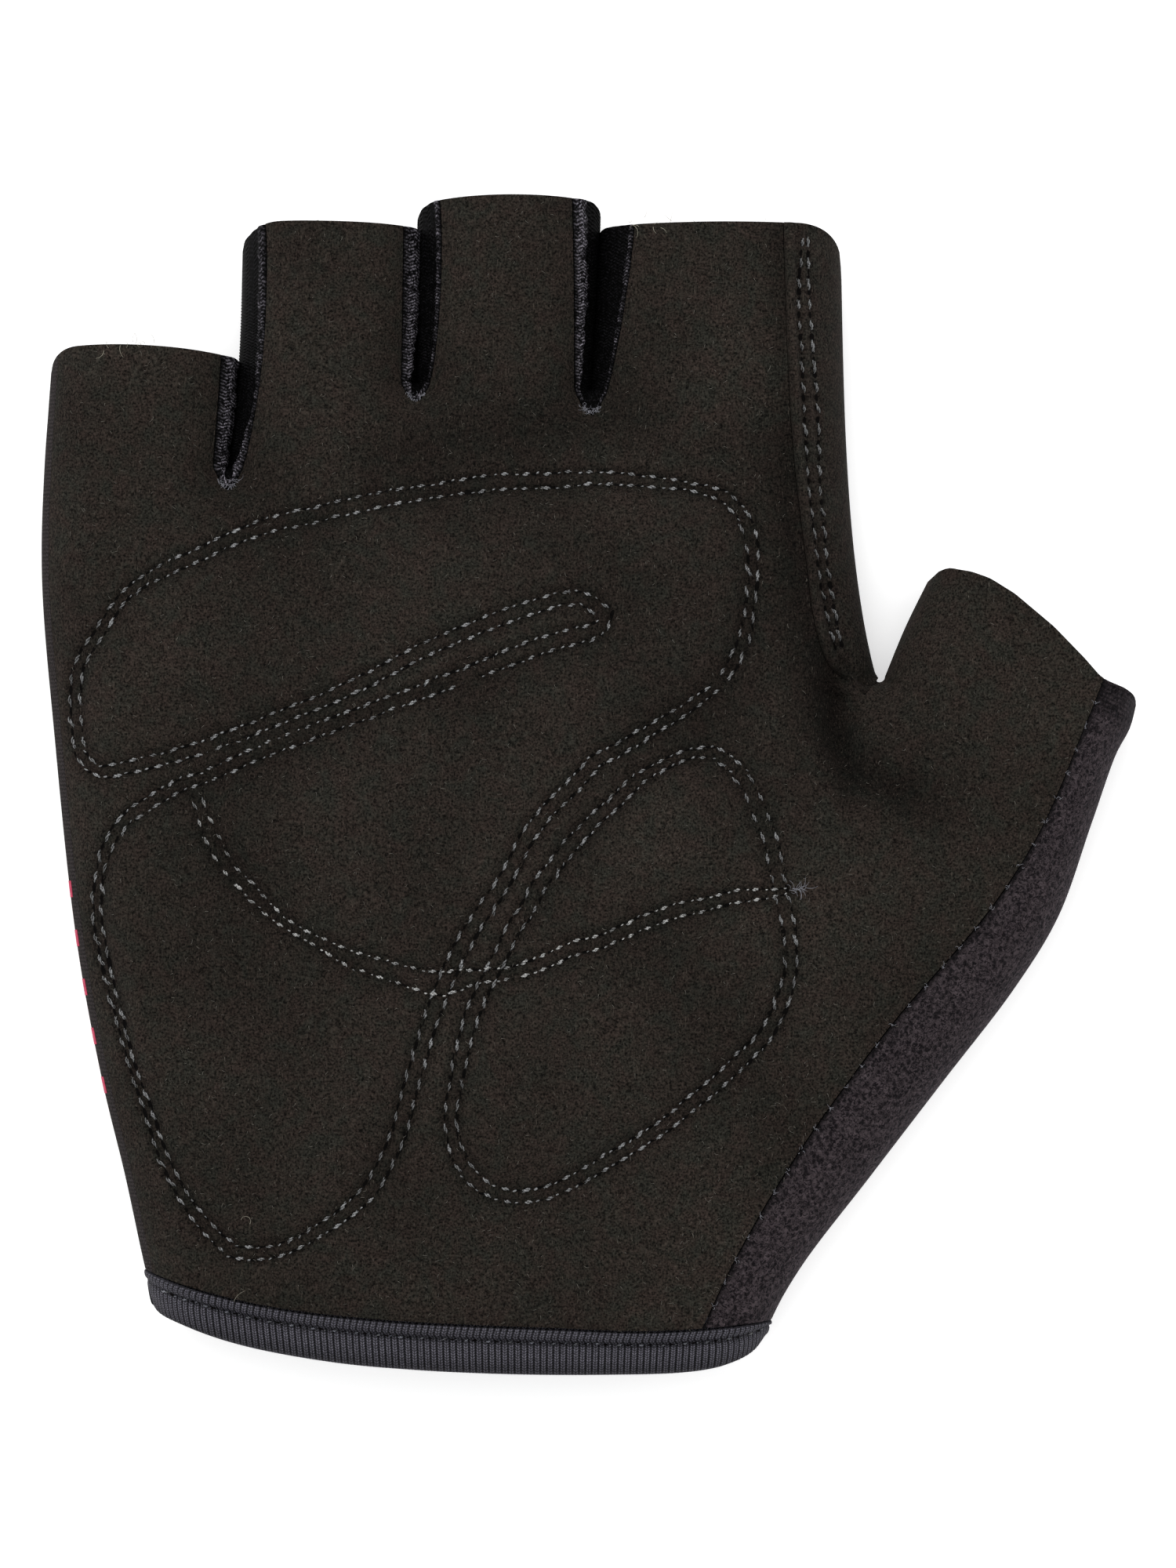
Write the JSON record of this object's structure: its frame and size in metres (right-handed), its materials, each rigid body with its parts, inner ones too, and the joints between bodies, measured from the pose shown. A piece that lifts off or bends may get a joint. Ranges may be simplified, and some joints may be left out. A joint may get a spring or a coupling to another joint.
{
  "type": "fingerless cycling glove",
  "caption": "Short-finger cycling glove for the right hand, lying palm up: suede palm with sewn foam pads, knitted back, stretch finger gussets and elastic cuff binding.",
  "frame": {"origin": "centre of the outline, on the surface that the glove's back lies on", "axes": "+Z out of the palm, +Y towards the fingertips, +X towards the thumb"},
  "size_m": [0.1395, 0.15, 0.0195],
  "materials": {
    "suede": "brown-black synthetic suede, matt nap",
    "back_knit": "fine black knit with a row of short pink bars by the little finger's edge",
    "thumb_knit": "brushed black-mauve knit, matt",
    "stretch_strip": "shiny ribbed stretch cloth, blue-black",
    "elastic": "fine-ribbed folded elastic, blue-black, satin",
    "foam": "soft foam, hidden under the palm"
  },
  "bodies": {
    "root": {"palm_panel": "suede", "index_side_panel": "suede", "back_panel": "back_knit", "thumb_back_panel": "thumb_knit", "fourchette_little_ring": "stretch_strip", "fourchette_ring_middle": "stretch_strip", "fourchette_middle_index": "stretch_strip", "cuff_binding": "elastic", "pad_knuckle": "foam", "pad_centre": "foam", "pad_heel": "foam", "pad_thumb": "foam"}
  },
  "joints": []
}
